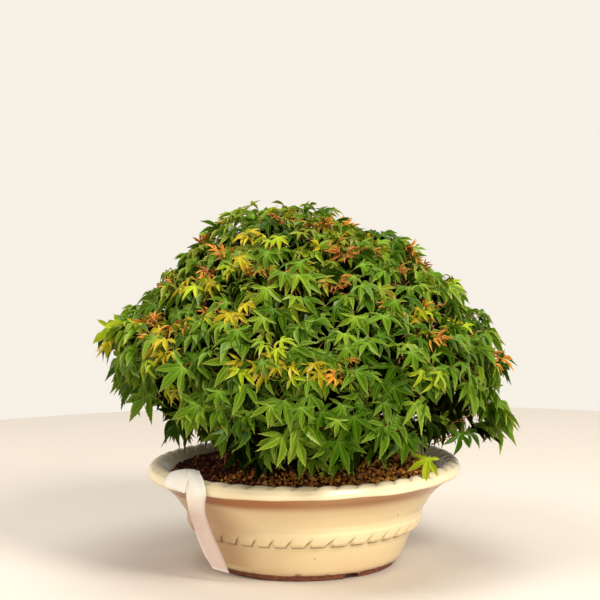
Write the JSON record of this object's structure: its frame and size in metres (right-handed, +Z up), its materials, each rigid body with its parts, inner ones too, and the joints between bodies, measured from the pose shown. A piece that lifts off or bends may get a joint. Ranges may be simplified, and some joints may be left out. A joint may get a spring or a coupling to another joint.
{
  "type": "potted japanese maple bonsai",
  "caption": "Low dome-shaped small-leaved maple bonsai with green leaves and autumn-tinted sprays, in a round cream-glazed pot with a twisted-rope rim and band.",
  "frame": {"origin": "centre of the pot's foot, on the surface it stands on", "axes": "+X to the right seen from the front, +Y to the back, +Z up"},
  "size_m": [0.3309, 0.3201, 0.2898],
  "materials": {
    "glaze": "glossy cream glaze over a red-brown clay foot, with darker glaze pooled in the rope pattern",
    "soil": "rough baked-clay soil grains, red-brown to orange-tan",
    "bark": "fine grey-brown bark, reddish on the young twigs",
    "foliage": "thin satin palmate leaves, green with yellow, orange and red sprays",
    "paper": "plain matt white paper strip"
  },
  "bodies": {
    "root": {"pot": "glaze", "soil": "soil", "trunk": "bark", "bough_upper_1": "bark", "bough_upper_2": "bark", "bough_upper_3": "bark", "bough_upper_4": "bark", "bough_upper_5": "bark", "bough_middle_1": "bark", "bough_middle_2": "bark", "bough_middle_3": "bark", "bough_middle_4": "bark", "bough_middle_5": "bark", "bough_middle_6": "bark", "bough_middle_7": "bark", "bough_middle_8": "bark", "bough_lower_1": "bark", "bough_lower_2": "bark", "bough_lower_3": "bark", "bough_lower_4": "bark", "bough_lower_5": "bark", "bough_lower_6": "bark", "bough_lower_7": "bark", "bough_lower_8": "bark", "mass_top": "foliage", "mass_upper_1": "foliage", "mass_upper_2": "foliage", "mass_upper_3": "foliage", "mass_upper_4": "foliage", "mass_upper_5": "foliage", "mass_middle_1": "foliage", "mass_middle_2": "foliage", "mass_middle_3": "foliage", "mass_middle_4": "foliage", "mass_middle_5": "foliage", "mass_middle_6": "foliage", "mass_middle_7": "foliage", "mass_middle_8": "foliage", "mass_lower_1": "foliage", "mass_lower_2": "foliage", "mass_lower_3": "foliage", "mass_lower_4": "foliage", "mass_lower_5": "foliage", "mass_lower_6": "foliage", "mass_lower_7": "foliage", "mass_lower_8": "foliage", "paper_tag": "paper"}
  },
  "joints": []
}
